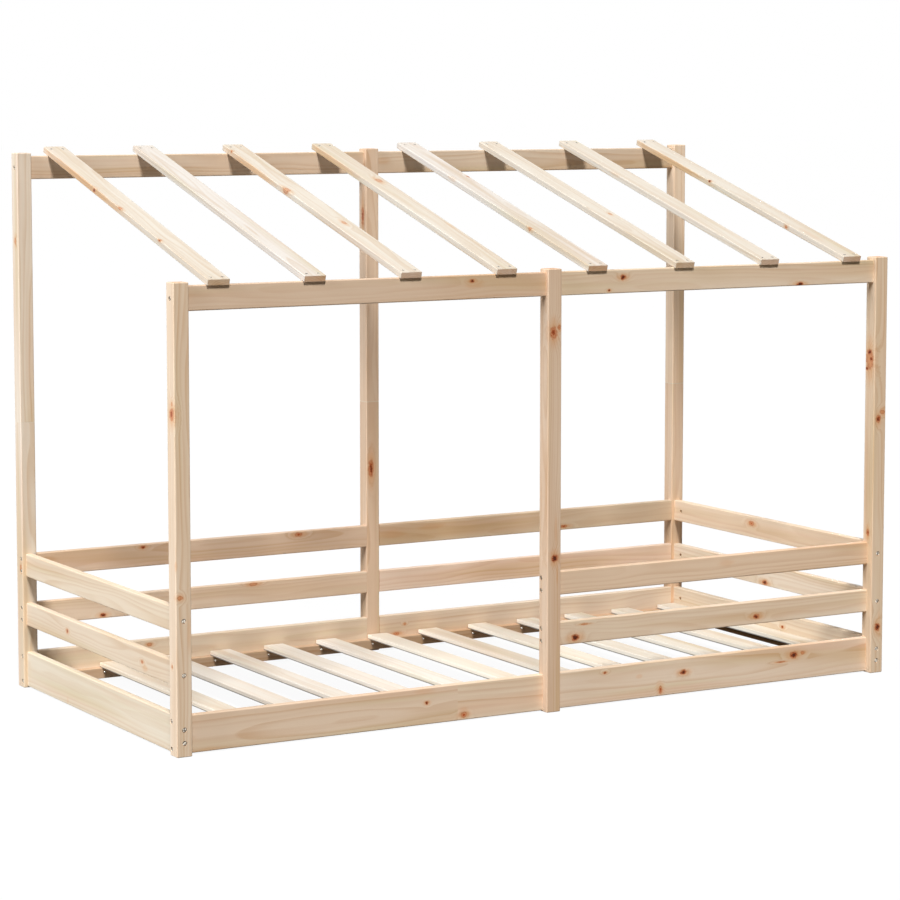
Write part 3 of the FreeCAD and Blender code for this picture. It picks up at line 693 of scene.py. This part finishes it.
makeFloor(floorPlan)
print("floor laid")

# studio light: a dim even room, a far key from the upper left in front, a cooler round lamp low on the left,
# and a low lamp behind on the right for the sides that the photo doesn't show
light = {"room": 0.04, "roomColour": (1.0, 0.93, 0.86),
         "farPlace": (0, 0, 4),  # only the direction of a far lamp counts
         "keyFrom": (-0.22, -0.54, 0.81), "keyPower": 1.07, "keyAngle": 13.0,
         "keyColour": (1.0, 0.995, 0.99),
         "rimFrom": (0.63, 0.75, 0.15), "rimPower": 0.80, "rimAngle": 14.0,
         "rimColour": (1.0, 0.98, 0.95),
         "sidePlace": (-15.2, -1.1, 7.4), "sideAim": (0, -0.5, 0.5), "sideSize": 5.5, "sidePower": 0.81,
         "sideColour": (0.93, 1.0, 1.10)}


def hangLamp(lamp, colour, spot, comesFrom):
    lamp.color = colour
    holder = bpy.data.objects.new(lamp.name, lamp)
    holder.location = spot
    holder.rotation_euler = comesFrom.to_track_quat("Z", "Y").to_euler()
    bpy.context.scene.collection.objects.link(holder)
    return holder


def makeLamps(plan):
    for name in ("key", "rim"):
        lamp = bpy.data.lights.new(name, "SUN")
        lamp.energy = plan[name + "Power"] * math.pi
        lamp.angle = math.radians(plan[name + "Angle"])
        holder = hangLamp(lamp, plan[name + "Colour"], plan["farPlace"], Vector(plan[name + "From"]))
        holder.visible_glossy = name == "key"  # no sheen from behind
    side = bpy.data.lights.new("side", "AREA")
    side.shape = "DISK"
    side.size = plan["sideSize"]
    away = Vector(plan["sidePlace"]) - Vector(plan["sideAim"])
    side.energy = plan["sidePower"] * math.pi ** 2 * away.length_squared
    hangLamp(side, plan["sideColour"], plan["sidePlace"], away)


def makeRoom(plan):
    world = bpy.data.worlds.new("studio")
    bpy.context.scene.world = world
    world.use_nodes = True
    tree = world.node_tree
    tree.nodes.clear()
    roomColour = opaque(plan["roomColour"])
    room = place(tree, "ShaderNodeBackground", {"Color": roomColour, "Strength": plan["room"]})
    white = place(tree, "ShaderNodeBackground", {"Color": (1, 1, 1, 1), "Strength": 1.0})
    mixed = place(tree, "ShaderNodeMixShader", {0: lookedAt(tree), 1: room.outputs[0], 2: white.outputs[0]})
    place(tree, "ShaderNodeOutputWorld", {"Surface": mixed.outputs[0]})


makeLamps(light)
makeRoom(light)
print("lamps and room set")

# camera: the photo's view, from the front left and a little above
camera = {"place": (-3.9587, -6.8259, 1.5845), "yaw": 29.886, "pitch": 5.642, "lens": 120.13, "sensor": 36.0,
          "shiftX": 0.0073, "shiftY": -0.08, "farthest": 200.0}


def makeCamera(plan):
    lens = bpy.data.cameras.new("camera")
    lens.lens = plan["lens"]
    lens.sensor_width = plan["sensor"]
    lens.shift_x = plan["shiftX"]
    lens.shift_y = plan["shiftY"]
    lens.clip_end = plan["farthest"]
    holder = bpy.data.objects.new("camera", lens)
    holder.location = plan["place"]
    holder.rotation_euler = (math.radians(90 - plan["pitch"]), 0, math.radians(-plan["yaw"]))
    bpy.context.scene.collection.objects.link(holder)
    bpy.context.scene.camera = holder


makeCamera(camera)
bpy.context.scene.view_settings.view_transform = "Standard"
print("camera set")
